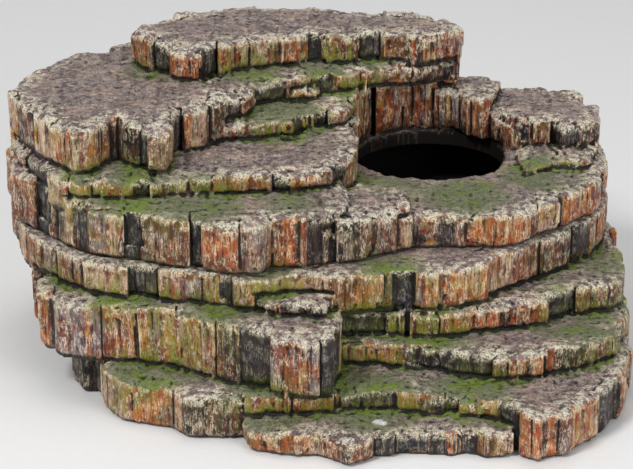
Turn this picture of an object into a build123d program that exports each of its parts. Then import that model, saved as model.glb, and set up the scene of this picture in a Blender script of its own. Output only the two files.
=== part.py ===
from build123d import *
import os

# Two-part resin cave ornament.  Millimetres, +Z up, the entrance side faces -Y.
# The lower casting is a tray of stacked rock strata.  The upper casting is a
# hollow stepped rock that lifts straight off it and has the round entrance.

# Levels of the rock strata, from the foot to the summit.
TOE_TOP = 11.0
FOOT_LEDGE_TOP = 20.0
RIGHT_SHELF_TOP = 31.0
RIGHT_STEP_TOP = 43.0
LEFT_STEP_TOP = 46.0
FRONT_STEP_TOP = 52.0
SEAM = 61.0
PORCH_TOP = 76.0
PORCH_RISE_TOP = 80.0
LEFT_LEDGE_TOP = 83.0
SLAB_TOP = 92.0
LOBE_TOP = 97.0
NECK_TOP = 101.0
CHIP_TOP = 106.0
PLATE_TOP = 111.0
SUMMIT = 125.0

# Casting thicknesses and the seam joint.
WALL = 7.0
ROOF = 6.0
FLOOR = 6.0
LIP_HEIGHT = 4.0
LIP_THICKNESS = 3.0
REBATE_WALL = 4.0
REBATE_DEPTH = 5.0
LIP_GAP = 0.6
LANDING = 0.3

# Foot and entrance.
FOOT_RELIEF = 1.5
HOLE_RADIUS = 32.0
HOLE_X = 49.0
HOLE_Y = 43.0

# Outline of the lid at the seam.  The joint, the porch and the rim of the
# tray all follow it.
SEAM_OUTLINE = [
    (-133, 34), (-125, 2), (-114, -16), (-96, -36), (-84, -42), (-60, -49),
    (-45, -53), (-33, -60), (-23, -61), (-18, -54), (-3, -53), (18, -43),
    (30, -35), (44, -31), (72, -31), (83, -26), (96, -13), (117, 8),
    (125, 34), (126, 60), (118, 84), (98, 98), (60, 106), (10, 109),
    (-40, 107), (-84, 100), (-112, 82), (-128, 58),
]

# Stretches of wall that several strata of the lid share, as points in plan.
PLATE_FRONT = [
    (-122, 10), (-109, -14), (-99, -28), (-92, -24), (-84, -11),
    (-68, -24), (-61, -24), (-54, 0), (-40, 15),
]
BAY_WALL = [(17, 52), (25, 69), (38, 77), (52, 78)]
RIGHT_END = [(63, 74), (56, 86), (42, 99)]
BACK_WALL = [(0, 107), (-42, 105), (-86, 100), (-110, 79), (-124, 56), (-129, 26)]


def prism(outline, bottom, top):
    """A rock stratum: a flat outline between two levels."""
    face = make_face(Polyline(*outline, close=True))
    return extrude(Pos(0, 0, bottom) * face, top - bottom)


def inset_prism(outline, inset, bottom, top):
    """The same, with its outline moved inwards."""
    face = make_face(Polyline(*outline, close=True))
    smaller = offset(face, amount=-inset, kind=Kind.INTERSECTION)
    return extrude(Pos(0, 0, bottom) * smaller, top - bottom)


def foot_stratum():
    """The stratum on the ground, with the recess under the left overhang."""
    outline = [
        (-108, 0), (-101, -26), (-89, -50), (-78, -68), (-60, -74), (-52, -84),
        (-32, -86), (0, -84), (34, -82), (52, -85), (70, -90), (80, -101),
        (86, -105), (98, -100), (107, -90), (119, -79), (125, -62), (131, -32),
        (133, 6), (131, 34), (125, 60), (112, 84), (88, 98), (50, 104),
        (8, 108), (-38, 105), (-80, 97), (-98, 78), (-108, 50), (-110, 26),
    ]
    return prism(outline, 0, FOOT_LEDGE_TOP)


def toe():
    """The low ledge in front of the foot."""
    outline = [
        (-31, -82), (-26, -95), (-14, -100), (0, -101), (12, -109), (22, -103),
        (38, -100), (62, -102), (77, -100), (80, -70), (-31, -70),
    ]
    return prism(outline, 0, TOE_TOP)


def right_shelf():
    """The wide shelf above the foot on the right."""
    outline = [
        (8, -54), (37, -60), (51, -66), (66, -70), (92, -68), (106, -62),
        (124, -46), (130, -26), (132, 4), (130, 36), (125, 62), (114, 84),
        (94, 97), (56, 105), (8, 107), (8, 0),
    ]
    return prism(outline, FOOT_LEDGE_TOP, RIGHT_SHELF_TOP)


def right_step():
    """The next step back on the right."""
    outline = [
        (8, -52), (30, -52), (44, -53), (58, -52), (70, -46), (84, -43),
        (96, -37), (108, -29), (122, -23), (128, -16), (131, 14), (129, 40),
        (126, 61), (117, 83), (97, 97), (59, 106), (8, 108), (8, 0),
    ]
    return prism(outline, RIGHT_SHELF_TOP, RIGHT_STEP_TOP)


def left_step():
    """The tall block that overhangs on the left and bulges at the front."""
    outline = [
        (-119, 12), (-117, -14), (-114, -36), (-105, -47), (-90, -50), (-70, -53),
        (-58, -58), (-46, -68), (-30, -78), (-14, -84), (4, -90), (9, -88),
        (10, 106), (-40, 106), (-82, 99), (-106, 80), (-118, 56), (-121, 34),
    ]
    return prism(outline, FOOT_LEDGE_TOP, LEFT_STEP_TOP)


def front_step():
    """The small step in the middle of the front."""
    outline = [(-28, -58), (-21, -64), (-11, -68), (4, -72), (8, -58), (8, -40), (-28, -40)]
    return prism(outline, RIGHT_STEP_TOP, FRONT_STEP_TOP)


def rim_stratum():
    """The stratum under the seam.  Its ledge shows in front of the lid."""
    outline = [
        (-132, 33), (-124, 2), (-114, -18), (-96, -38), (-84, -45), (-60, -51),
        (-45, -54), (-32, -60), (-23, -59), (-3, -56), (8, -58), (26, -54), (58, -50),
        (69, -43), (77, -32), (88, -21), (99, -12), (118, 6), (125, 34),
        (126, 60), (118, 84), (98, 98), (60, 106), (10, 109), (-40, 107),
        (-84, 100), (-111, 81), (-127, 57),
    ]
    return prism(outline, RIGHT_STEP_TOP, SEAM - LANDING)


def base_cavity():
    """The hollow of the tray.

    It is widest in plan at the bottom of the front bulge, and at the left
    it opens out again above the overhang.
    """
    lower = [
        (-99, 10), (-92, -14), (-84, -38), (-68, -45), (-54, -50), (-42, -60),
        (-28, -70), (-12, -76), (0, -79), (0, -46), (30, -45), (58, -43),
        (82, -35), (104, -21), (118, -10), (122, 14), (117, 44), (103, 70),
        (82, 85), (45, 93), (8, 98), (-36, 96), (-76, 86), (-90, 72),
        (-99, 50), (-101, 28),
    ]
    inset = REBATE_WALL + LIP_GAP + LIP_THICKNESS
    bulge_roof = LEFT_STEP_TOP - ROOF
    overhang_floor = RIGHT_STEP_TOP + FLOOR
    middle = inset_prism(SEAM_OUTLINE, inset, bulge_roof, overhang_floor)
    hollow = prism(lower, FLOOR, bulge_roof) + (prism(lower, bulge_roof, overhang_floor) & middle)
    return hollow + inset_prism(SEAM_OUTLINE, inset, overhang_floor, SUMMIT)


def locating_lip():
    """The low ring cast inside the rim that centres the lid."""
    return inset_prism(SEAM_OUTLINE, REBATE_WALL + LIP_GAP, SEAM - ROOF, SEAM + LIP_HEIGHT)


def foot_relief():
    """The shallow hollow under the tray that leaves a level foot all round."""
    outline = [
        (-99, 12), (-88, -20), (-70, -54), (-20, -74), (60, -74), (100, -78),
        (114, -40), (119, 8), (112, 56), (84, 84), (8, 95), (-70, 85), (-95, 60),
    ]
    return prism(outline, 0, FOOT_RELIEF)


def make_base():
    """The lower casting."""
    rock = foot_stratum() + toe() + right_shelf() + right_step()
    rock = rock + left_step() + front_step() + rim_stratum() + locating_lip()
    rock = rock - base_cavity() - foot_relief()
    return rock.clean()


def porch():
    """The stratum over the seam, which carries the entrance."""
    return prism(SEAM_OUTLINE, SEAM, PORCH_TOP)


def left_ledge():
    """The raised left part of the porch stratum."""
    outline = [
        (-133, 34), (-125, 2), (-114, -16), (-96, -36), (-84, -42), (-60, -49),
        (-45, -53), (-33, -60), (-23, -61), (-18, -54), (-3, -53), (14, -44),
        (12, 20), (10, 109), (-40, 107), (-84, 100), (-112, 82), (-128, 58),
    ]
    return prism(outline, PORCH_TOP, LEFT_LEDGE_TOP)


def porch_rise():
    """The part of the porch that slopes up to the left ledge."""
    outline = [(8, -48), (18, -43), (30, -35), (40, -31), (36, -12), (18, -2), (8, -10)]
    return prism(outline, PORCH_TOP, PORCH_RISE_TOP)


def right_sill():
    """The thin sill in front of the right wing."""
    outline = [(86, 50), (88, 14), (103, 27), (116, 25), (122, 40), (120, 60)]
    return prism(outline, PORCH_TOP, PORCH_RISE_TOP)


def slab():
    """The slab that runs round the entrance bay, from the left to the right wing."""
    outline = [
        (-121, -2), (-111, -20), (-104, -28), (-80, -33), (-66, -32),
        (-54, -28), (-14, -24), (6, -16), (15, -3), (17, 12), *BAY_WALL,
        (62, 71), (72, 53), (76, 57), (81, 47), (92, 42), (101, 45),
        (105, 33), (122, 46), (124, 66), (115, 83), (94, 96), (50, 104),
        *BACK_WALL,
    ]
    return prism(outline, PORCH_TOP, SLAB_TOP)


def bay_lobe():
    """The lobe at the right of the bay's back wall."""
    outline = [(52, 78), (62, 71), (72, 53), (76, 57), (80, 74), (83, 92), (60, 98)]
    return prism(outline, SLAB_TOP, LOBE_TOP)


def neck():
    """The stratum between the slab and the big plate."""
    outline = [
        *PLATE_FRONT, (-17, 19), (-10, 15), (-3, 26), (12, 36), *BAY_WALL,
        *RIGHT_END, *BACK_WALL,
    ]
    return prism(outline, SLAB_TOP, NECK_TOP)


def big_plate():
    """The broad plate that tops the left side."""
    outline = [
        *PLATE_FRONT, (-31, 19), (-26, 34), (0, 49), (24, 62), (46, 66),
        *RIGHT_END, *BACK_WALL,
    ]
    return prism(outline, NECK_TOP, PLATE_TOP)


def plate_chip():
    """The thin broken flake in front of the big plate."""
    outline = [(-30, 22), (-24, 38), (-16, 41), (0, 45), (4, 54), (-20, 60), (-40, 40)]
    return prism(outline, NECK_TOP, CHIP_TOP)


def summit():
    """The top plate."""
    outline = [
        (-81, 66), (-71, 51), (-58, 41), (-47, 38), (-36, 52), (-10, 61),
        (36, 68), (47, 63), *RIGHT_END, (24, 97), (0, 107), (-42, 105),
        (-54, 96), (-68, 91), (-80, 78),
    ]
    return prism(outline, PLATE_TOP, SUMMIT)


def lid_cavity():
    """The chamber inside the lid, stepped like the rock outside it."""
    over_porch = [
        (-119, 26), (-110, 2), (-98, -20), (-80, -25), (-54, -20), (-14, -16),
        (4, -8), (9, 12), (9, 56), (19, 76), (36, 86), (54, 87),
        (69, 77), (76, 68), (88, 56), (114, 54), (116, 64), (108, 80),
        (88, 91), (50, 97), (0, 100), (-42, 98), (-80, 90), (-103, 74),
        (-117, 52),
    ]
    under_plate = [
        (-118, 28), (-110, 8), (-98, -12), (-84, 0), (-64, 6), (-46, 22),
        (-32, 36), (-4, 56), (15, 76), (34, 86), (36, 92), (0, 98),
        (-42, 97), (-80, 90), (-104, 73), (-116, 50),
    ]
    under_summit = [
        (-71, 68), (-56, 52), (-48, 48), (-40, 61), (-10, 70), (22, 75),
        (36, 83), (33, 88), (0, 98), (-30, 96), (-66, 84),
    ]
    hollow = inset_prism(SEAM_OUTLINE, REBATE_WALL, SEAM, SEAM + REBATE_DEPTH)
    hollow = hollow + inset_prism(SEAM_OUTLINE, WALL, SEAM, PORCH_TOP - ROOF)
    hollow = hollow + prism(over_porch, PORCH_TOP - ROOF, SLAB_TOP - ROOF)
    hollow = hollow + prism(under_plate, SLAB_TOP - ROOF, PLATE_TOP - ROOF)
    return hollow + prism(under_summit, PLATE_TOP - ROOF, SUMMIT - ROOF)


def entrance():
    """The round hole through the porch."""
    middle = (PORCH_TOP + SEAM) / 2
    return Pos(HOLE_X, HOLE_Y, middle) * Cylinder(HOLE_RADIUS, PORCH_TOP - SEAM + 2)


def make_lid():
    """The upper casting."""
    rock = porch() + left_ledge() + porch_rise() + right_sill() + slab() + bay_lobe()
    rock = rock + neck() + big_plate() + plate_chip() + summit()
    rock = rock - lid_cavity() - entrance()
    return rock.clean()


os.makedirs("parts", exist_ok=True)
export_step(make_base(), "parts/base.step")
export_step(make_lid(), "parts/lid.step")
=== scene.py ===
import math

import bmesh
import bpy
import numpy as np
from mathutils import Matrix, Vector


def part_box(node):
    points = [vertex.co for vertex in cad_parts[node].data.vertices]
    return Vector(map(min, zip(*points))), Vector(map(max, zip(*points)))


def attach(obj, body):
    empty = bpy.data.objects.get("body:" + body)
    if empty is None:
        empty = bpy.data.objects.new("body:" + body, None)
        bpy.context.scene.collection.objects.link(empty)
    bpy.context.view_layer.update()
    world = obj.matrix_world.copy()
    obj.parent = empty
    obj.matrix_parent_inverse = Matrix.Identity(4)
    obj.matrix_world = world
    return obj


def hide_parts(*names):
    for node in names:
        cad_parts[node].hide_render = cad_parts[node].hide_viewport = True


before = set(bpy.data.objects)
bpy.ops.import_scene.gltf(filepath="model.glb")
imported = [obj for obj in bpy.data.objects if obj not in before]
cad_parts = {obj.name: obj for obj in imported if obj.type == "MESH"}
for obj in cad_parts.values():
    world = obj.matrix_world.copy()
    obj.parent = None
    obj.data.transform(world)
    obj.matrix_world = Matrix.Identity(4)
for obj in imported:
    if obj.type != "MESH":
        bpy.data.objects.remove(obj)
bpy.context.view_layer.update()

MM = 0.001
GRID = 0.75  # cell of the carving grid, mm
MARGIN = 5.0  # empty border of the grid, mm
SAME_OUTLINE = 0.3  # layers whose outlines are nearer than this share one wall, mm
LID_BLOCK = 12.0  # pitch of the blocks in the lid's walls, mm
BASE_BLOCK = 15.5  # and in the base's walls
SMALL_BLOCK = 4.6  # pitch of the small chips on the walls, mm
PROUD = (-0.5, 1.5)  # how far a block stands out of its wall, mm
KNOCKED_BACK = (-4.2, -2.3)  # the same for a recessed block
TILT = (-0.12, 0.12)  # how much a block's face leans, mm per mm
GROOVE = 1.1  # depth of the groove between two blocks, mm
SMALL_GROOVE = 0.25
FULL_HEIGHT = 14.0  # a wall this tall is cut to the full depth of its blocks, mm
WORN_RIM = 5.0  # width of the worn rim of each top, mm
UNDERCUT = 1.4  # depth of the joint under each layer, mm
UNDERCUT_HEIGHT = 1.6
SEAT_HEIGHT = 6.0  # the lowest part of the lid's wall, which keeps near its outline, mm
SEAT_RECESS = 2.4  # deepest cut in that part, mm
PORCH_TOP = 77.0  # level of the ledge that the entrance goes down through, mm
ENTRANCE_TOP = 78.5  # the entrance is cut up to this level, mm
CHIPPED = (25.0, -91.0, 11.0)  # a knock on the toe that shows the bare resin, mm
CHIP_RADIUS = 3.4


# ---------------------------------------------------------------- CAD shape

def mesh_in_mm(obj):
    """Merged vertices and triangles of a CAD node, in millimetres."""
    me = obj.data
    me.calc_loop_triangles()
    co = np.empty(len(me.vertices) * 3, np.float32)
    me.vertices.foreach_get("co", co)
    tri = np.empty(len(me.loop_triangles) * 3, np.int32)
    me.loop_triangles.foreach_get("vertices", tri)
    co = np.round(co.reshape(-1, 3).astype(float) / MM, 3)
    merged, where = np.unique(co, axis=0, return_inverse=True)
    return merged, where.reshape(-1)[tri.reshape(-1, 3)]


def loops_at(verts, tris, z):
    """Closed outlines where the mesh crosses the level z."""
    side = verts[:, 2] > z
    following = {}
    points = {}
    for t in tris[(side[tris].any(1)) & (~side[tris].all(1))]:
        ends = [None, None]
        for a, b in ((t[0], t[1]), (t[1], t[2]), (t[2], t[0])):
            if side[a] == side[b]:
                continue
            key = (min(a, b), max(a, b))
            va, vb = verts[a], verts[b]
            points[key] = (va + (vb - va) * (z - va[2]) / (vb[2] - va[2]))[:2]
            ends[0 if side[a] else 1] = key
        following[ends[0]] = ends[1]
    loops = []
    while following:
        first, key = following.popitem()
        chain = [points[first]]
        while key != first:
            chain.append(points[key])
            key = following.pop(key)
        loops.append(tidy(np.array(chain)))
    return sorted(loops, key=lambda p: -abs(area(p)))


def area(p):
    """Area of a closed outline, negative where it runs clockwise."""
    q = np.roll(p, -1, axis=0)
    return 0.5 * float(np.sum(p[:, 0] * q[:, 1] - q[:, 0] * p[:, 1]))


def tidy(p):
    """Drops repeated points and points in line with their neighbours."""
    p = p[np.linalg.norm(p - np.roll(p, 1, axis=0), axis=1) > 1e-3]
    a = p - np.roll(p, 1, axis=0)
    b = np.roll(p, -1, axis=0) - p
    turn = np.abs(a[:, 0] * b[:, 1] - a[:, 1] * b[:, 0])
    return p[turn > 1e-3 * np.linalg.norm(a, axis=1) * np.linalg.norm(b, axis=1)]


def bands_of(obj):
    """The node's layers, from the bottom up: (low, high, outlines)."""
    verts, tris = mesh_in_mm(obj)
    levels = np.unique(np.round(verts[:, 2], 2))
    out = []
    for low, high in zip(levels[:-1], levels[1:]):
        if high - low > 0.05:
            out.append((low, high, loops_at(verts, tris, (low + high) / 2)))
    return out


# ---------------------------------------------------------------- noise

def value_noise(x, y, cell, rng):
    """Smooth random field from -1 to 1 with lumps of about the cell's size."""
    gx = (x - x.min()) / cell
    gy = (y - y.min()) / cell
    ix = gx.astype(int)
    iy = gy.astype(int)
    table = rng.uniform(-1, 1, (ix.max() + 2, iy.max() + 2)).astype(np.float32)
    fx = gx - ix
    fy = gy - iy
    fx = fx * fx * (3 - 2 * fx)
    fy = fy * fy * (3 - 2 * fy)
    low = table[ix, iy] * (1 - fx) + table[ix + 1, iy] * fx
    high = table[ix, iy + 1] * (1 - fx) + table[ix + 1, iy + 1] * fx
    return low * (1 - fy) + high * fy


def rough_noise(x, y, cell, octaves, rng):
    """Smooth noise with finer and weaker noise added to it."""
    total = 0
    for k in range(octaves):
        total = total + value_noise(x, y, cell / 2 ** k, rng) / 2 ** k
    return total / 1.6


class Blocks:
    """A plan view cut into irregular cells, each of which is one block of rock."""

    def __init__(self, x, y, pitch, rng, recess_share=0.27):
        nx = int((x.max() - x.min()) / pitch) + 3
        ny = int((y.max() - y.min()) / pitch) + 3
        gi, gj = np.meshgrid(np.arange(nx), np.arange(ny), indexing="ij")
        sx = x.min() + (gi - 0.5 + rng.uniform(-0.42, 0.42, gi.shape)) * pitch
        sy = y.min() + (gj - 0.5 + rng.uniform(-0.42, 0.42, gi.shape)) * pitch
        recessed = rng.random(gi.shape) < recess_share
        weight = np.where(recessed, -0.10, rng.uniform(-0.05, 0.22, gi.shape)) * pitch ** 2
        ci = ((x - x.min()) / pitch + 0.5).astype(int)
        cj = ((y - y.min()) / pitch + 0.5).astype(int)
        best = np.full(x.shape, 1e9, np.float32)
        second = best.copy()
        self.cell = np.zeros(x.shape, np.int32)
        for di in range(-2, 3):
            for dj in range(-2, 3):
                a = np.clip(ci + di, 0, nx - 1)
                b = np.clip(cj + dj, 0, ny - 1)
                d = (x - sx[a, b]) ** 2 + (y - sy[a, b]) ** 2 - weight[a, b]
                code = a * ny + b
                closer = (d < best) & (code != self.cell)
                second = np.where(closer, best, np.where(code != self.cell, np.minimum(second, d), second))
                self.cell = np.where(closer, code, self.cell)
                best = np.where(closer, d, best)
        self.border = (second - best) / (1.6 * pitch)
        self.recessed = recessed.ravel()[self.cell]
        self.dx = x - sx.ravel()[self.cell]
        self.dy = y - sy.ravel()[self.cell]
        self.n = nx * ny

    def per_cell(self, low, high, rng):
        """One random value for each block, at every point of the plan."""
        return rng.uniform(low, high, self.n).astype(np.float32)[self.cell]


# ---------------------------------------------------------------- carving

def distance_to(outline, x, y):
    """Signed distance in plan to a closed outline: negative inside."""
    best = np.full(x.shape, 1e9, np.float32)
    inside = np.zeros(x.shape, bool)
    for (ax, ay), (bx, by) in zip(outline, np.roll(outline, -1, axis=0)):
        ex, ey = bx - ax, by - ay
        t = np.clip(((x - ax) * ex + (y - ay) * ey) / (ex * ex + ey * ey), 0, 1)
        best = np.minimum(best, (x - ax - t * ex) ** 2 + (y - ay - t * ey) ** 2)
        if ay != by:
            spans = (ay > y) != (by > y)
            inside ^= spans & (x < ax + (y - ay) * ex / ey)
    return np.sqrt(best) * np.where(inside, -1, 1)


def smooth_max(a, b, k):
    """The larger of two fields, rounded over where they are within k of each other."""
    h = np.clip(k - np.abs(a - b), 0, None) / k
    return np.maximum(a, b) + h * h * k * 0.25


def smooth_min(a, b, k):
    return -smooth_max(-a, -b, k)


def blur(f, radius):
    """Two box blurs along each axis of a 3-D field."""
    n = 2 * radius + 1
    for axis in range(3):
        for _ in range(2):
            pad = [(0, 0)] * 3
            pad[axis] = (radius + 1, radius)
            s = np.cumsum(np.pad(f, pad, mode="edge"), axis=axis, dtype=np.float32)
            hi = [slice(None)] * 3
            lo = [slice(None)] * 3
            hi[axis] = slice(n, None)
            lo[axis] = slice(0, -n)
            f = (s[tuple(hi)] - s[tuple(lo)]) / n
    return f


def layer_groups(plans):
    """Which top layer and which foot each stretch of wall belongs to.

    Where neighbouring layers share their outline, the wall runs on through both.
    """
    n = len(plans)
    top_of = [None] * n
    foot_of = [None] * n
    top_of[n - 1] = np.full(plans[0][2].shape, n - 1, np.int8)
    for j in range(n - 2, -1, -1):
        same = np.abs(plans[j][2] - plans[j + 1][2]) < SAME_OUTLINE
        top_of[j] = np.where(same, top_of[j + 1], j).astype(np.int8)
    foot_of[0] = np.full(plans[0][2].shape, plans[0][0], np.float32)
    for j in range(1, n):
        same = np.abs(plans[j][2] - plans[j - 1][2]) < SAME_OUTLINE
        foot_of[j] = np.where(same, foot_of[j - 1], plans[j][0]).astype(np.float32)
    return top_of, foot_of


class Look:
    """The random relief, in millimetres, and colours of one group of layers."""

    def __init__(self, x, y, rng, block):
        big = Blocks(x, y, block, rng, recess_share=0.29)
        small = Blocks(x, y, SMALL_BLOCK, rng, recess_share=0.25)

        # Walls: leaning blocks with grooves between them, small chips and a slow wave.
        proud = big.per_cell(*PROUD, rng)
        deep = big.per_cell(*KNOCKED_BACK, rng)
        self.push = np.where(big.recessed, deep, proud)
        self.push += big.dx * big.per_cell(*TILT, rng) + big.dy * big.per_cell(*TILT, rng)
        self.push -= GROOVE * np.exp(-(big.border / 0.42) ** 2)
        self.push += np.where(small.recessed, -0.5, 0) + small.per_cell(-0.3, 0.3, rng)
        self.push -= SMALL_GROOVE * np.exp(-(small.border / 0.4) ** 2)
        self.push += 0.7 * value_noise(x, y, 34, rng)
        self.grain = [
            0.42 * value_noise(x, y, 1.5, rng) + 0.5 * value_noise(x, y, 3.0, rng) for _ in range(3)
        ]

        # Tops: each block's rim is worn down by its own amount, with crumpled ridges between.
        self.drop = big.per_cell(-2.2, 0.6, rng)
        ridge = np.abs(value_noise(x, y, 6.0, rng)) + 0.6 * np.abs(value_noise(x, y, 3.1, rng))
        ridge += 0.4 * np.abs(value_noise(x, y, 1.7, rng))
        self.rough = 1.3 * rough_noise(x, y, 22, 3, rng) + 1.2 * (0.5 - ridge)
        self.crack = np.exp(-(big.border / 0.35) ** 2)

        # Colours: a tone that picks the rock's colour, and a shade.
        tone = big.per_cell(0, 1, rng) + np.where(small.recessed, small.per_cell(-0.4, 0.4, rng), 0)
        self.tone = np.abs(1 - np.abs(1 - np.abs(tone)))
        self.shade = big.per_cell(0, 1, rng) * 0.6 + small.per_cell(0, 0.4, rng)
        self.recessed = big.recessed.astype(np.float32)

    def grain_at(self, z):
        """Grain of the wall, which changes slowly with height."""
        s = z / 13.0
        k = int(math.floor(s))
        t = s - k
        t = t * t * (3 - 2 * t)
        return self.grain[k % 3] * (1 - t) + self.grain[(k + 1) % 3] * t


class Strata:
    """The layers of one casting in plan, each given as (low, high, outline) in millimetres."""

    def __init__(self, layers, x, y, flat_low, flat_high, block, seed):
        self.flat_low = flat_low
        self.flat_high = flat_high
        self.plans = [(low, high, distance_to(outline, x, y)) for low, high, outline in layers]
        self.top_of, self.foot_of = layer_groups(self.plans)
        self.used = sorted({int(g) for t in self.top_of for g in np.unique(t)})
        rng = np.random.default_rng(seed)
        self.looks = {g: Look(x, y, rng, block) for g in self.used}
        self.edges = [plan[2] - self.wall_push(j) for j, plan in enumerate(self.plans)]
        self.tops = [self.top(j) for j in range(len(self.plans))]

    def chosen(self, j, field):
        """A field of each point's own group of layers, seen from layer j."""
        out = np.zeros(self.plans[0][2].shape, np.float32)
        for g in self.used:
            out = np.where(self.top_of[j] == g, field(self.looks[g], g), out)
        return out

    def wall_push(self, j):
        """How far the wall stands out.  Thin layers are cut less deeply than tall ones."""
        tall = self.chosen(j, lambda look, g: self.plans[g][1]) - self.foot_of[j]
        return self.chosen(j, lambda look, g: look.push) * np.clip(tall / FULL_HEIGHT, 0.4, 1)

    def top(self, j):
        """Height of the layer's top: crumpled, and worn down towards its rim."""
        high = self.chosen(j, lambda look, g: self.plans[g][1])
        inward = np.clip(-self.edges[j], 0, None)
        near = np.exp(-inward / WORN_RIM)
        relief = self.chosen(j, lambda look, g: look.rough)
        relief = relief + near * self.chosen(j, lambda look, g: look.drop)
        relief -= near * 0.9 * self.chosen(j, lambda look, g: look.crack)
        relief -= 0.5 * np.exp(-inward / 1.6)
        at_seam = np.abs(high - self.flat_high) < 0.5
        return np.where(at_seam, high - np.clip(-relief, 0, 1.2) * (near > 0.12), high + relief)

    def rock_at(self, z):
        """The field at one level, negative inside the rock, and the layer nearest each point."""
        rock = np.full(self.plans[0][2].shape, 9.0, np.float32)
        who = np.zeros(rock.shape, np.uint8)
        for j, (low, high, outline) in enumerate(self.plans):
            if z < low - 1.5 or z > self.plans[-1][1] + 4:
                continue
            depth = self.tops[j] - z
            rise = z - self.foot_of[j]
            grain = self.chosen(j, lambda look, g: look.grain_at(z + 5 * g)) if high > z - 8 else 0
            wall = self.edges[j] - grain
            wall = wall - 0.5 * np.exp(-(depth / 1.9) ** 2)
            wall = wall + UNDERCUT * np.exp(-(rise / UNDERCUT_HEIGHT) ** 2)
            if self.flat_low > 0:
                seat = (z < self.flat_low + SEAT_HEIGHT) & (wall - outline > SEAT_RECESS)
                wall = np.where(seat, outline + SEAT_RECESS, wall)
            here = smooth_max(wall, -depth, 2.2)
            if j > 0:
                here = np.maximum(here, low - 1.0 - z)
            nearer = here < rock
            who = np.where(nearer, j, who).astype(np.uint8)
            rock = smooth_min(rock, here, 0.9)
        return rock, who


def carve(layers, box, flat_low, flat_high, hole, block, seed):
    """Fills a grid with rock between two flat levels.

    Returns the field, negative inside the rock, and the strata that colour it.
    """
    x0, y0, z0 = (box[0][i] / MM - MARGIN for i in range(3))
    xs = np.arange(x0, box[1][0] / MM + MARGIN, GRID)
    ys = np.arange(y0, box[1][1] / MM + MARGIN, GRID)
    zs = np.arange(z0, box[1][2] / MM + MARGIN, GRID)
    x, y = np.meshgrid(xs, ys, indexing="ij")
    x = x.astype(np.float32)
    y = y.astype(np.float32)
    strata = Strata(layers, x, y, flat_low, flat_high, block, seed)
    strata.origin = np.array((xs[0], ys[0], zs[0]))
    strata.hole = distance_to(hole, x, y) if hole is not None else None
    strata.owner = np.zeros((len(xs), len(ys), len(zs)), np.uint8)
    f = np.full(strata.owner.shape, 9.0, np.float32)
    first_look = strata.looks[strata.used[0]]
    for k, z in enumerate(zs):
        rock, who = strata.rock_at(z)
        rock = smooth_max(rock, np.float32(flat_low - z), 1.0)
        rock = np.maximum(rock, z - flat_high)
        if hole is not None:
            inside_hole = np.maximum(strata.hole + 0.3 * first_look.grain_at(z), z - ENTRANCE_TOP)
            rock = smooth_max(rock, -inside_hole, 1.4)
        f[:, :, k] = rock
        strata.owner[:, :, k] = who
    return f, strata


def spread(s):
    """A mask grown by one cell in every direction."""
    for axis in range(3):
        grown = s.copy()
        ahead = [slice(None)] * 3
        behind = [slice(None)] * 3
        ahead[axis] = slice(1, None)
        behind[axis] = slice(0, -1)
        grown[tuple(ahead)] |= s[tuple(behind)]
        grown[tuple(behind)] |= s[tuple(ahead)]
        s = grown
    return s


def drop_slivers(f):
    """Clears splinters too thin to cast."""
    s = f < 0
    core = ~spread(spread(~s))
    body = spread(spread(spread(core)))
    return np.where(s & ~body, np.float32(0.1), f)


def unpinch(f):
    """Fills grid points that would make two sheets of the skin touch at an edge."""
    for _ in range(12):
        s = f < 0
        bad = np.zeros(f.shape, bool)
        for a, b in ((0, 1), (0, 2), (1, 2)):
            def view(arr, i, j):
                sl = [slice(None)] * 3
                sl[a] = slice(1, None) if i else slice(0, -1)
                sl[b] = slice(1, None) if j else slice(0, -1)
                return arr[tuple(sl)]
            p, q, r, t = view(s, 0, 0), view(s, 1, 0), view(s, 0, 1), view(s, 1, 1)
            cross = (p == t) & (q == r) & (p != q)
            if cross.any():
                for i in (0, 1):
                    for j in (0, 1):
                        view(bad, i, j)[cross] = True
        fix = bad & ~s
        if not fix.any():
            return f
        f[fix] = -0.05
    return f


def skin(f, origin):
    """A closed quad mesh on the zero level of a field: vertices and faces."""
    s = f < 0
    n = np.array(f.shape)
    corner = [
        s[i:n[0] - 1 + i, j:n[1] - 1 + j, k:n[2] - 1 + k]
        for i in (0, 1) for j in (0, 1) for k in (0, 1)
    ]
    total = sum(c.astype(np.int8) for c in corner)
    active = (total > 0) & (total < 8)
    cells = np.argwhere(active)
    index = np.full(active.shape, -1, np.int32)
    index[tuple(cells.T)] = np.arange(len(cells))
    acc = np.zeros((len(cells), 3))
    count = np.zeros(len(cells))
    for axis in range(3):
        step = np.eye(3, dtype=int)[axis]
        others = [a for a in range(3) if a != axis]
        for i in (0, 1):
            for j in (0, 1):
                p = cells.copy()
                p[:, others[0]] += i
                p[:, others[1]] += j
                a = f[tuple(p.T)]
                b = f[tuple((p + step).T)]
                cut = (a < 0) != (b < 0)
                t = a[cut] / (a[cut] - b[cut])
                acc[cut] += p[cut] + step * t[:, None]
                count[cut] += 1
    verts = acc / count[:, None] * GRID + origin
    faces = []
    for axis in range(3):
        step = np.eye(3, dtype=int)[axis]
        sl0 = [slice(1, -1)] * 3
        sl1 = [slice(1, -1)] * 3
        sl0[axis] = slice(0, -1)
        sl1[axis] = slice(1, None)
        change = np.argwhere(s[tuple(sl0)] != s[tuple(sl1)])
        p = change.copy()
        for a in range(3):
            if a != axis:
                p[:, a] += 1
        u, v = [a for a in range(3) if a != axis]
        eu = np.eye(3, dtype=int)[u]
        ev = np.eye(3, dtype=int)[v]
        quad = [index[tuple((p - d).T)] for d in (eu + ev, ev, eu * 0, eu)]
        quad = np.stack(quad, 1)
        inside_first = s[tuple(p.T)]
        flip = inside_first if axis != 1 else ~inside_first
        quad[~flip] = quad[~flip][:, ::-1]
        faces.append(quad)
    return verts, np.concatenate(faces)


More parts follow.
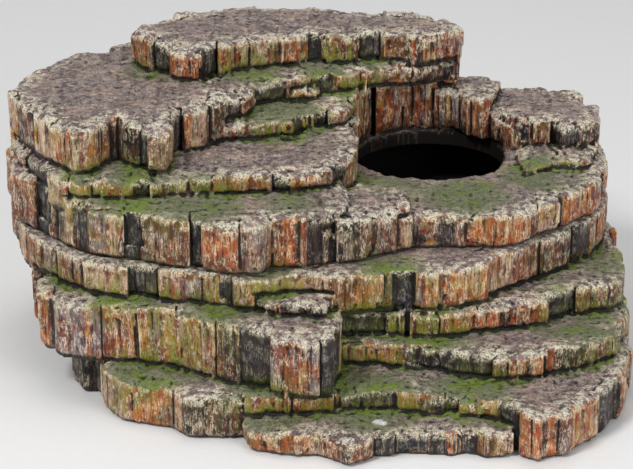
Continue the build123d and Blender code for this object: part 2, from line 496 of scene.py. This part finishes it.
# ---------------------------------------------------------------- meshes

def mesh_object(name, verts, faces):
    """A new object from vertices in millimetres and quads."""
    me = bpy.data.meshes.new(name)
    me.vertices.add(len(verts))
    me.vertices.foreach_set("co", (np.asarray(verts) * MM).astype(np.float32).ravel())
    me.loops.add(faces.size)
    me.loops.foreach_set("vertex_index", faces.astype(np.int32).ravel())
    me.polygons.add(len(faces))
    me.polygons.foreach_set("loop_start", np.arange(0, faces.size, faces.shape[1], dtype=np.int32))
    me.update(calc_edges=True)
    obj = bpy.data.objects.new(name, me)
    bpy.context.scene.collection.objects.link(obj)
    return obj


def prism_object(name, outline, low, high):
    """A straight-sided solid on an outline."""
    bm = bmesh.new()
    ring = outline if area(outline) > 0 else outline[::-1]
    face = bm.faces.new([bm.verts.new((px * MM, py * MM, low * MM)) for px, py in ring])
    top = bmesh.ops.extrude_face_region(bm, geom=[face])
    moved = [g for g in top["geom"] if isinstance(g, bmesh.types.BMVert)]
    bmesh.ops.translate(bm, verts=moved, vec=(0, 0, (high - low) * MM))
    bmesh.ops.recalc_face_normals(bm, faces=bm.faces)
    bmesh.ops.triangulate(bm, faces=bm.faces)
    me = bpy.data.meshes.new(name)
    bm.to_mesh(me)
    bm.free()
    obj = bpy.data.objects.new(name, me)
    bpy.context.scene.collection.objects.link(obj)
    return obj


def combine(obj, other, how):
    """Adds or cuts away another solid, and removes it."""
    mod = obj.modifiers.new("solid", "BOOLEAN")
    mod.operation = how
    mod.solver = "MANIFOLD"
    mod.object = other
    done = bpy.data.meshes.new_from_object(obj.evaluated_get(bpy.context.evaluated_depsgraph_get()))
    obj.modifiers.remove(mod)
    if len(done.vertices) < 8:
        raise RuntimeError("the solids did not combine: " + obj.name)
    obj.data = done
    bpy.data.objects.remove(other)


def sampled(field, origin, verts):
    """Values of a 3-D field at mesh vertices, between its grid points."""
    p = (verts - origin) / GRID
    p = np.clip(p, 0, np.array(field.shape) - 1.001)
    i = p.astype(int)
    t = p - i
    out = 0
    for a in (0, 1):
        for b in (0, 1):
            for c in (0, 1):
                w = (t[:, 0] if a else 1 - t[:, 0]) * (t[:, 1] if b else 1 - t[:, 1])
                w = w * (t[:, 2] if c else 1 - t[:, 2])
                out = out + w * field[i[:, 0] + a, i[:, 1] + b, i[:, 2] + c]
    return out


def layer_values(strata, verts, cell):
    """For each vertex, the facts of the layer and the block that it lies on."""
    who = strata.owner[tuple(cell.T)]
    names = ("tone", "shade", "recessed", "depth", "rise", "edge")
    values = {name: np.zeros(len(verts), np.float32) for name in names}
    for j in range(len(strata.plans)):
        mine = who == j
        if not mine.any():
            continue
        cx, cy = cell[mine, 0], cell[mine, 1]
        group = strata.top_of[j][cx, cy]
        for g in np.unique(group):
            sub = group == g
            at = np.flatnonzero(mine)[sub]
            look = strata.looks[int(g)]
            values["tone"][at] = look.tone[cx[sub], cy[sub]]
            values["shade"][at] = look.shade[cx[sub], cy[sub]]
            values["recessed"][at] = look.recessed[cx[sub], cy[sub]]
        values["depth"][mine] = strata.tops[j][cx, cy] - verts[mine, 2]
        values["rise"][mine] = verts[mine, 2] - strata.foot_of[j][cx, cy]
        values["edge"][mine] = -strata.edges[j][cx, cy]
    return values


def mossiness(spots, verts):
    """Moss grows in round patches, each given as (centre, radius, amount)."""
    moss = np.zeros(len(verts))
    for centre, radius, amount in spots:
        d2 = ((verts - np.array(centre)) ** 2 * np.array((1, 1, 2.2))).sum(1)
        moss = np.maximum(moss, amount * np.exp(-d2 / radius ** 2))
    return moss


def shade_of_entrance(away, verts):
    """Painted shade: the wall of the entrance and the ring behind it are darkened as if in shadow."""
    throat_shade = np.clip((1.0 - away) * 1.5, 0, 1) * (verts[:, 2] < PORCH_TOP)
    behind = np.clip((verts[:, 1] - 30) / 20, 0, 1)
    # Painted shadow on the ring behind the entrance.
    shadow = behind * np.clip(1 - away / 5.0, 0, 1) * np.clip((PORCH_TOP + 7 - verts[:, 2]) / 6, 0, 1)
    return np.maximum(throat_shade, shadow)


def paint(obj, f, strata, moss_spots):
    """Stores on each vertex what its material needs."""
    co = np.empty(len(obj.data.vertices) * 3, np.float32)
    obj.data.vertices.foreach_get("co", co)
    verts = co.reshape(-1, 3) / MM
    cell = np.rint((verts - strata.origin) / GRID).astype(int)
    cell = np.clip(cell, 0, np.array(f.shape) - 1)
    values = layer_values(strata, verts, cell)
    rock = np.clip(0.5 - f / GRID * 0.6, 0, 1).astype(np.float32)
    values["convex"] = 0.5 - sampled(blur(rock, 1), strata.origin, verts)
    values["hollow"] = sampled(blur(rock, 5), strata.origin, verts) - 0.5
    off_skin = np.abs(sampled(np.clip(f, -3, 3), strata.origin, verts))
    values["inner"] = np.clip((off_skin - 0.5) / 0.5, 0, 1)
    chip = np.linalg.norm((verts - CHIPPED) * (1, 1.3, 1.0), axis=1)
    values["chip"] = np.clip((CHIP_RADIUS - chip) / 0.8, 0, 1)
    values["moss"] = mossiness(moss_spots, verts)
    if strata.hole is not None:
        # Painted shade down the entrance and behind it.
        values["throat_shade"] = shade_of_entrance(strata.hole[cell[:, 0], cell[:, 1]], verts)
    for name, value in values.items():
        layer = obj.data.attributes.new(name, "FLOAT", "POINT")
        layer.data.foreach_set("value", np.asarray(value, np.float32))
    obj.data.polygons.foreach_set("use_smooth", np.ones(len(obj.data.polygons), bool))


def hollows(bands):
    """The inner outlines of a casting, with layers of one shape joined up."""
    out = []
    for low, high, loops in bands:
        for loop in loops[1:2]:
            if out and len(out[-1][2]) == len(loop) and abs(area(out[-1][2]) - area(loop)) < 0.5 \
                    and abs(out[-1][1] - low) < 1e-3:
                out[-1] = (out[-1][0], high, loop)
            else:
                out.append((low, high, loop))
    return out


def build_casting(name, node, flat_low, flat_high, block, seed, moss_spots):
    """One casting: rock between two flat levels, with the lip and the hollow that CAD gives it."""
    bands = bands_of(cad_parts[node])
    rock = [(low, high, loops[0]) for low, high, loops in bands if high <= flat_high + 0.01]
    holes = [loop for _, _, loops in bands for loop in loops[2:]]
    hole = min(holes, key=lambda p: abs(area(p))) if holes else None
    f, strata = carve(rock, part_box(node), flat_low, flat_high, hole, block, seed)
    f = unpinch(drop_slivers(f))
    obj = mesh_object(name, *skin(f, strata.origin))
    lip = [(low, high, loops[0]) for low, high, loops in bands if high > flat_high + 0.01]
    for low, high, outline in lip:
        combine(obj, prism_object("lip", outline, low - 4.0, high), "UNION")
    for low, high, outline in hollows(bands):
        past_low = 2.0 if low < flat_low + 0.01 else 0.01
        past_high = 2.0 if lip and high > flat_high + 0.01 else 0.01
        combine(obj, prism_object("hollow", outline, low - past_low, high + past_high), "DIFFERENCE")
    paint(obj, f, strata, moss_spots)
    return obj


# ---------------------------------------------------------------- materials

class Nodes:
    """A short way to write a node material."""

    def __init__(self, name):
        self.material = bpy.data.materials.new(name)
        self.material.use_nodes = True
        self.tree = self.material.node_tree
        self.tree.nodes.clear()
        self.coords = self.new("ShaderNodeTexCoord").outputs["Object"]

    def new(self, kind, **settings):
        node = self.tree.nodes.new(kind)
        for key, value in settings.items():
            setattr(node, key, value)
        return node

    def put(self, socket, value):
        """Links a socket to another, or sets its value."""
        if isinstance(value, bpy.types.NodeSocket):
            self.tree.links.new(value, socket)
        else:
            socket.default_value = value

    def attr(self, name):
        return self.new("ShaderNodeAttribute", attribute_name=name).outputs["Fac"]

    def math(self, op, a, b=0.0, c=0.0, clamp=False):
        node = self.new("ShaderNodeMath", operation=op, use_clamp=clamp)
        self.put(node.inputs[0], a)
        self.put(node.inputs[1], b)
        self.put(node.inputs[2], c)
        return node.outputs[0]

    def ramp(self, value, low, high, out_low=0.0, out_high=1.0):
        """A smooth step from out_low to out_high as the value goes from low to high."""
        node = self.new("ShaderNodeMapRange", interpolation_type="SMOOTHSTEP")
        self.put(node.inputs["Value"], value)
        self.put(node.inputs["From Min"], low)
        self.put(node.inputs["From Max"], high)
        self.put(node.inputs["To Min"], out_low)
        self.put(node.inputs["To Max"], out_high)
        return node.outputs[0]

    def stretched(self, sx, sy, sz):
        """Object coordinates in millimetres, divided by a lump size on each axis."""
        node = self.new("ShaderNodeMapping")
        self.put(node.inputs["Vector"], self.coords)
        node.inputs["Scale"].default_value = (1 / (MM * sx), 1 / (MM * sy), 1 / (MM * sz))
        return node.outputs[0]

    def noise(self, size, detail=2.0, rough=0.5, distort=0.0, shift=0.0):
        """Noise with lumps of a size in millimetres, which may differ from axis to axis."""
        sx, sy, sz = size if isinstance(size, tuple) else (size, size, size)
        where = self.stretched(sx, sy, sz)
        if shift:
            add = self.new("ShaderNodeVectorMath", operation="ADD")
            self.put(add.inputs[0], where)
            add.inputs[1].default_value = (shift, shift * 0.7, shift * 1.3)
            where = add.outputs[0]
        node = self.new("ShaderNodeTexNoise")
        self.put(node.inputs["Vector"], where)
        node.inputs["Scale"].default_value = 1.0
        node.inputs["Detail"].default_value = detail
        node.inputs["Roughness"].default_value = rough
        node.inputs["Distortion"].default_value = distort
        return node.outputs["Fac"]

    def veins(self, size, width, distort=1.5, shift=0.0):
        """Thin wandering lines."""
        n = self.noise(size, 3.0, 0.55, distort, shift)
        off = self.math("ABSOLUTE", self.math("SUBTRACT", n, 0.5))
        return self.ramp(off, 0.0, width, 1.0, 0.0)

    def colours(self, value, stops):
        """A colour ramp, with its stops given as (position, colour)."""
        node = self.new("ShaderNodeValToRGB")
        ramp = node.color_ramp
        while len(ramp.elements) < len(stops):
            ramp.elements.new(0.5)
        for element, (at, colour) in zip(ramp.elements, stops):
            element.position = at
            element.color = (*colour, 1)
        self.put(node.inputs[0], value)
        return node.outputs["Color"]

    def mix(self, fac, a, b):
        """Colour a where the factor is 0 and colour b where it is 1."""
        node = self.new("ShaderNodeMix", data_type="RGBA", clamp_factor=True)
        self.put(node.inputs[0], fac)
        self.put(node.inputs[6], (*a, 1) if isinstance(a, tuple) else a)
        self.put(node.inputs[7], (*b, 1) if isinstance(b, tuple) else b)
        return node.outputs[2]

    def deepened(self, colour, power, gain):
        """The same colours with stronger darks and lights, up to white paint."""
        gamma = self.new("ShaderNodeGamma")
        self.put(gamma.inputs[0], colour)
        gamma.inputs[1].default_value = power
        scale = self.new("ShaderNodeVectorMath", operation="SCALE")
        self.put(scale.inputs[0], gamma.outputs[0])
        scale.inputs["Scale"].default_value = gain
        cap = self.new("ShaderNodeVectorMath", operation="MINIMUM")
        self.put(cap.inputs[0], scale.outputs[0])
        cap.inputs[1].default_value = (0.90, 0.88, 0.78)
        return cap.outputs[0]

    def product(self, *values):
        out = values[0]
        for v in values[1:]:
            out = self.math("MULTIPLY", out, v)
        return out

    def finish(self, colour, roughness, height, distance, specular=0.5):
        """Ends the material with a shader whose bumps are the given distance high, in millimetres."""
        bump = self.new("ShaderNodeBump")
        bump.inputs["Strength"].default_value = 1.0
        bump.inputs["Distance"].default_value = distance * MM
        self.put(bump.inputs["Height"], height)
        shader = self.new("ShaderNodeBsdfPrincipled")
        self.put(shader.inputs["Base Color"], colour)
        self.put(shader.inputs["Roughness"], roughness)
        self.put(shader.inputs["Normal"], bump.outputs[0])
        self.put(shader.inputs["Specular IOR Level"], specular)
        out = self.new("ShaderNodeOutputMaterial")
        self.put(out.inputs["Surface"], shader.outputs[0])
        return self.material


PURPLE_BLACK = (0.016, 0.011, 0.016)
SLATE = (0.036, 0.036, 0.052)
SLATE_PALE = (0.26, 0.26, 0.30)
DARK_BROWN = (0.085, 0.040, 0.026)
RED_BROWN = (0.22, 0.060, 0.030)
RUST = (0.43, 0.122, 0.034)
ORANGE = (0.53, 0.200, 0.055)
BROWN = (0.24, 0.125, 0.070)
OCHRE = (0.42, 0.27, 0.060)
MAUVE = (0.262, 0.204, 0.212)
DULL_MAUVE = (0.150, 0.119, 0.129)
PINK_CREAM = (0.58, 0.41, 0.33)
CREAM = (0.92, 0.85, 0.66)
SAGE = (0.165, 0.190, 0.085)
GREY_GREEN = (0.25, 0.27, 0.17)
MOSS = (0.19, 0.27, 0.025)
YELLOW_GREEN = (0.24, 0.245, 0.028)
# Painted shade in the joint under a layer where moss grows.
MOSS_SHADE_GREEN = (0.018, 0.034, 0.008)
BARE_RESIN = (0.86, 0.86, 0.84)
# Dark wash for streaks and flecks, also used as painted shade in creases, in corners and under the layers.
WASH_AND_SHADE = (0.012, 0.008, 0.009)
PIT = (0.030, 0.022, 0.024)
DARK_SAGE = (0.040, 0.050, 0.022)
# The dark inside of the casting, also used as painted shade down the entrance.
INSIDE_AND_SHADE = (0.011, 0.010, 0.009)


def rock_material(name):
    m = Nodes(name)
    normal = m.new("ShaderNodeNewGeometry").outputs["Normal"]
    split = m.new("ShaderNodeSeparateXYZ")
    m.put(split.inputs[0], normal)
    up = m.ramp(split.outputs["Z"], 0.45, 0.8)
    side = m.math("SUBTRACT", 1.0, up)
    convex = m.attr("convex")
    hollow = m.attr("hollow")
    depth = m.attr("depth")
    rise = m.attr("rise")
    edge = m.attr("edge")
    moss = m.attr("moss")
    recessed = m.attr("recessed")

    streak = m.noise((1.0, 1.0, 9.0), 4.0, 0.65)
    streak_2 = m.noise((2.6, 2.6, 20.0), 3.0, 0.6, shift=31.0)
    broken = m.noise((3.4, 3.4, 4.0), 3.0, 0.65, shift=57.0)
    fleck = m.noise(1.1, 3.0, 0.7, shift=13.0)
    speck = m.noise(0.55, 2.0, 0.6, shift=23.0)
    blotch = m.noise(9.0, 3.0, 0.6, shift=71.0)
    patch = m.noise(16.0, 3.0, 0.6, shift=91.0)
    net = m.math("MAXIMUM", m.veins((1.5, 1.5, 2.2), 0.05, 1.2), m.veins((2.6, 2.6, 4.0), 0.035, 1.6, 19.0))
    thread = m.product(net, m.ramp(broken, 0.47, 0.60))
    run = m.math("MAXIMUM", m.veins((1.2, 1.2, 8.0), 0.045, 0.6), m.veins((2.4, 2.4, 6.0), 0.025, 1.6, 19.0))
    run = m.product(run, m.ramp(broken, 0.42, 0.56))

    # Walls: each block has its own colour, streaked along the grain.
    tone = m.math("ADD", m.attr("tone"), m.ramp(blotch, 0.3, 0.7, -0.12, 0.12), clamp=True)
    wall = m.colours(tone, [
        (0.00, PURPLE_BLACK), (0.11, DARK_BROWN), (0.22, RED_BROWN), (0.33, RUST), (0.43, ORANGE),
        (0.52, BROWN), (0.61, PINK_CREAM), (0.70, OCHRE), (0.80, RUST), (0.90, RED_BROWN), (1.0, MAUVE),
    ])
    wall = m.mix(m.ramp(m.attr("shade"), 0.55, 0.15, 0.0, 0.6), wall, DARK_BROWN)
    wall = m.mix(m.product(m.ramp(streak_2, 0.47, 0.36), 0.6), wall, RED_BROWN)
    wall = m.mix(m.product(m.ramp(streak_2, 0.58, 0.68), 0.5), wall, PINK_CREAM)
    pale = m.product(m.ramp(streak, 0.52, 0.62), m.ramp(broken, 0.40, 0.54))
    wall = m.mix(m.product(pale, 0.4), wall, PINK_CREAM)
    slate = m.mix(m.ramp(blotch, 0.42, 0.58), PURPLE_BLACK, SLATE)
    slate = m.mix(m.product(pale, m.ramp(blotch, 0.46, 0.60), 0.6), slate, SLATE_PALE)
    wall = m.mix(m.product(recessed, 0.92), wall, slate)
    wall = m.mix(m.product(m.ramp(streak, 0.47, 0.36), 0.85), wall, WASH_AND_SHADE)
    wall = m.mix(m.product(m.ramp(fleck, 0.40, 0.30), 0.7), wall, WASH_AND_SHADE)
    rim = m.ramp(depth, 3.5, 0.5)
    wall = m.mix(m.product(rim, net, m.ramp(broken, 0.40, 0.50), 0.95), wall, CREAM)
    wall = m.mix(m.product(run, m.math("SUBTRACT", 0.65, m.product(recessed, 0.35))), wall, CREAM)

    # Tops: mauve-grey with dark pits and pale wrinkles, palest along the rim.
    near_rim = m.ramp(edge, 12.0, 1.0)
    wrinkle = m.math("MAXIMUM", m.veins((5.0, 5.0, 5.0), 0.035), m.veins((2.0, 2.0, 2.0), 0.05, 1.0, 19.0))
    top = m.mix(m.ramp(blotch, 0.38, 0.62), DULL_MAUVE, MAUVE)
    top = m.mix(m.product(m.ramp(patch, 0.52, 0.64), 0.3), top, PINK_CREAM)
    top = m.mix(m.product(m.ramp(fleck, 0.46, 0.32), 0.85), top, PIT)
    top = m.mix(m.product(m.ramp(speck, 0.53, 0.66), 0.62), top, PINK_CREAM)
    line = m.product(m.math("MAXIMUM", wrinkle, thread), m.ramp(broken, 0.38, 0.55))
    top = m.mix(m.product(line, m.math("ADD", m.product(near_rim, 0.55), 0.36)), top, CREAM)
    top = m.mix(m.product(near_rim, net, m.ramp(broken, 0.44, 0.54), 0.75), top, CREAM)
    colour = m.mix(up, wall, top)

    # Moss on ledges, in corners and down the feet of the walls.
    corner = m.ramp(hollow, 0.02, 0.20)
    on_top = m.product(m.ramp(m.math("ADD", m.product(moss, 0.85), m.product(corner, 0.3)), 0.22, 0.60), up)
    on_top = m.product(on_top, m.ramp(patch, 0.28, 0.46))
    ledge = m.mix(m.ramp(fleck, 0.36, 0.62), SAGE, GREY_GREEN)
    ledge = m.mix(m.product(m.ramp(speck, 0.45, 0.32), 0.7), ledge, DARK_SAGE)
    colour = m.mix(m.product(on_top, 0.9), colour, ledge)
    bright = m.ramp(m.math("ADD", patch, m.product(corner, 0.16)), 0.52, 0.62)
    bright = m.product(on_top, bright, m.ramp(fleck, 0.34, 0.5))
    colour = m.mix(m.product(bright, 0.8), colour, MOSS)
    foot = m.product(m.ramp(rise, 10.0, 1.0), side)
    mossy = m.ramp(m.math("ADD", moss, m.product(patch, 0.4)), 0.5, 0.85)
    foot = m.product(foot, mossy, m.ramp(streak_2, 0.38, 0.5))
    green = m.mix(m.ramp(blotch, 0.42, 0.58), MOSS, YELLOW_GREEN)
    foot = m.product(foot, m.ramp(fleck, 0.30, 0.5), m.ramp(recessed, 0, 1, 0.85, 0.35))
    colour = m.mix(foot, colour, green)
    on_wall = m.product(moss, side, m.ramp(streak_2, 0.40, 0.52), m.ramp(patch, 0.36, 0.48))
    on_wall = m.product(on_wall, m.ramp(fleck, 0.32, 0.5), m.ramp(recessed, 0, 1, 0.75, 0.2))
    colour = m.mix(on_wall, colour, YELLOW_GREEN)

    # Dry-brushed cream on raised grain. Dark wash in cracks, with painted shade in creases, in corners and
    # in the joint under each layer.
    chance = m.product(fleck, m.ramp(up, 0, 1, 0.15, 0.34))
    chance = m.math("ADD", chance, m.product(streak, m.ramp(up, 0, 1, 0.3, 0.0)))
    raised = m.ramp(m.math("ADD", convex, chance), 0.34, 0.43)
    colour = m.mix(m.product(raised, m.math("SUBTRACT", 0.5, m.product(recessed, 0.35))), colour, CREAM)
    # Dark wash in creases, partly painted shade where shade falls in them.
    crease_wash_and_shade = m.ramp(m.math("SUBTRACT", convex, m.product(m.math("SUBTRACT", fleck, 0.5), 0.2)), -0.01, -0.11)
    colour = m.mix(m.product(crease_wash_and_shade, 0.92), colour, WASH_AND_SHADE)
    # Painted shade on walls in hollows and corners.
    colour = m.mix(m.product(m.ramp(hollow, 0.06, 0.26), side, 0.6), colour, WASH_AND_SHADE)
    # Painted shade in the joint under each layer, dark green where moss grows.
    under = m.product(m.ramp(rise, 2.4, 0.4), side)
    colour = m.mix(m.product(under, 0.85), colour, m.mix(m.ramp(moss, 0.2, 0.6), WASH_AND_SHADE, MOSS_SHADE_GREEN))
    colour = m.deepened(colour, 1.28, 1.42)
    colour = m.mix(m.attr("chip"), colour, BARE_RESIN)
    # The inside's own dark colour, which also serves as painted shade down the entrance and on the ring
    # behind it.
    dark = m.math("MAXIMUM", m.attr("inner"), m.attr("throat_shade"))
    colour = m.mix(dark, colour, INSIDE_AND_SHADE)

    rough = m.ramp(fleck, 0.3, 0.7, 0.36, 0.62)
    rough = m.math("MAXIMUM", rough, m.product(dark, 0.85))
    grain = m.math("ADD", m.product(streak, 1.0), m.product(streak_2, 0.8))
    grain = m.product(grain, side)
    crumple = m.math("ADD", m.product(broken, 1.6), m.product(fleck, 0.8))
    height = m.math("ADD", grain, m.product(crumple, m.math("ADD", m.product(up, 0.95), 0.35)))
    height = m.product(height, m.math("SUBTRACT", 1.0, m.product(dark, 0.8)))
    gloss = m.math("SUBTRACT", 0.55, m.product(dark, 0.5))
    return m.finish(colour, rough, height, 1.5, gloss)


# ---------------------------------------------------------------- the ornament

# Where moss grows on both castings: (centre, radius, amount), in millimetres.
MOSS_SPOTS = [
    ((-85, -30, 84), 26, 1.0), ((-50, -38, 83), 24, 0.9), ((-10, -35, 83), 22, 0.6),
    ((30, 0, 77), 22, 0.7), ((95, 15, 78), 20, 1.0), ((62, -8, 76), 22, 0.95),
    ((-60, 30, 93), 20, 0.8), ((-15, 30, 95), 22, 0.9), ((10, 60, 110), 22, 0.9),
    ((-30, 50, 112), 20, 0.8), ((20, 55, 101), 20, 0.7), ((-75, 50, 112), 18, 0.5),
    ((-70, -48, 44), 26, 1.0), ((-55, -60, 30), 24, 0.9), ((-40, -60, 45), 24, 0.7),
    ((-100, -25, 45), 22, 0.6), ((20, -55, 32), 26, 1.0), ((50, -52, 34), 22, 0.8),
    ((30, -50, 58), 20, 0.7), ((-20, -50, 56), 16, 0.9), ((20, -75, 14), 28, 1.0),
    ((-20, -82, 14), 20, 0.9), ((60, -80, 20), 24, 0.8), ((-70, -62, 18), 22, 0.9),
    ((110, -40, 30), 26, 0.8), ((125, 0, 30), 30, 0.9), ((100, -30, 44), 20, 0.5),
]

LID_SEAM = 61.0  # underside of the lid's rim, mm
BASE_SEAM = 60.7  # top of the base's rim, mm
NO_CUT = 999.0  # above everything, mm

lid = build_casting("lid_rock", "lid", LID_SEAM, NO_CUT, LID_BLOCK, seed=11, moss_spots=MOSS_SPOTS)
base = build_casting("base_rock", "base", 0.0, BASE_SEAM, BASE_BLOCK, seed=29, moss_spots=MOSS_SPOTS)
for piece, node, slot in ((lid, "lid", "lid_rock"), (base, "base", "base_rock")):
    piece.data.materials.clear()
    piece.data.materials.append(rock_material(slot))
    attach(piece, node)
    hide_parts(node)


# ---------------------------------------------------------------- studio

def plain_material(name, colour, roughness):
    m = Nodes(name)
    grain = m.noise(4.0, 2.0, 0.5)
    shaded = tuple(c * 0.985 for c in colour)
    return m.finish(m.mix(m.ramp(grain, 0.3, 0.7), colour, shaded), roughness, grain, 0.02)


bpy.ops.mesh.primitive_plane_add(size=8)
floor = bpy.context.object
floor.name = "floor"
floor.data.materials.append(plain_material("floor", (0.86, 0.86, 0.86), 0.8))


def area_light(name, place, aim, size, watts):
    """A round soft light, in metres."""
    data = bpy.data.lights.new(name, "AREA")
    data.shape = "DISK"
    data.size = size
    data.energy = watts
    obj = bpy.data.objects.new(name, data)
    obj.location = place
    obj.rotation_euler = (Vector(aim) - Vector(place)).to_track_quat("-Z", "Y").to_euler()
    bpy.context.scene.collection.objects.link(obj)


area_light("key", (-0.75, -0.9, 1.35), (0, 0, 0.05), 0.40, 15.5)
area_light("fill", (0.9, -1.2, 0.55), (0.05, 0, 0.06), 0.7, 8.0)
area_light("top", (0.1, 0.3, 1.5), (0, 0, 0.05), 0.9, 4.5)

world = bpy.data.worlds.new("studio")
world.use_nodes = True
world.node_tree.nodes["Background"].inputs["Color"].default_value = (1, 1, 1, 1)
world.node_tree.nodes["Background"].inputs["Strength"].default_value = 0.34
bpy.context.scene.world = world
bpy.context.scene.view_settings.view_transform = "Standard"

TARGET = Vector((0.0, -0.006, 0.058))
ELEVATION = math.radians(21.0)
DISTANCE = 1.15
camera_data = bpy.data.cameras.new("camera")
camera_data.lens = 156.0
camera_data.sensor_width = 36.0
camera_data.clip_start = 0.01
camera = bpy.data.objects.new("camera", camera_data)
camera.location = TARGET + DISTANCE * Vector((0, -math.cos(ELEVATION), math.sin(ELEVATION)))
camera.rotation_euler = (TARGET - camera.location).to_track_quat("-Z", "Y").to_euler()
bpy.context.scene.collection.objects.link(camera)
bpy.context.scene.camera = camera
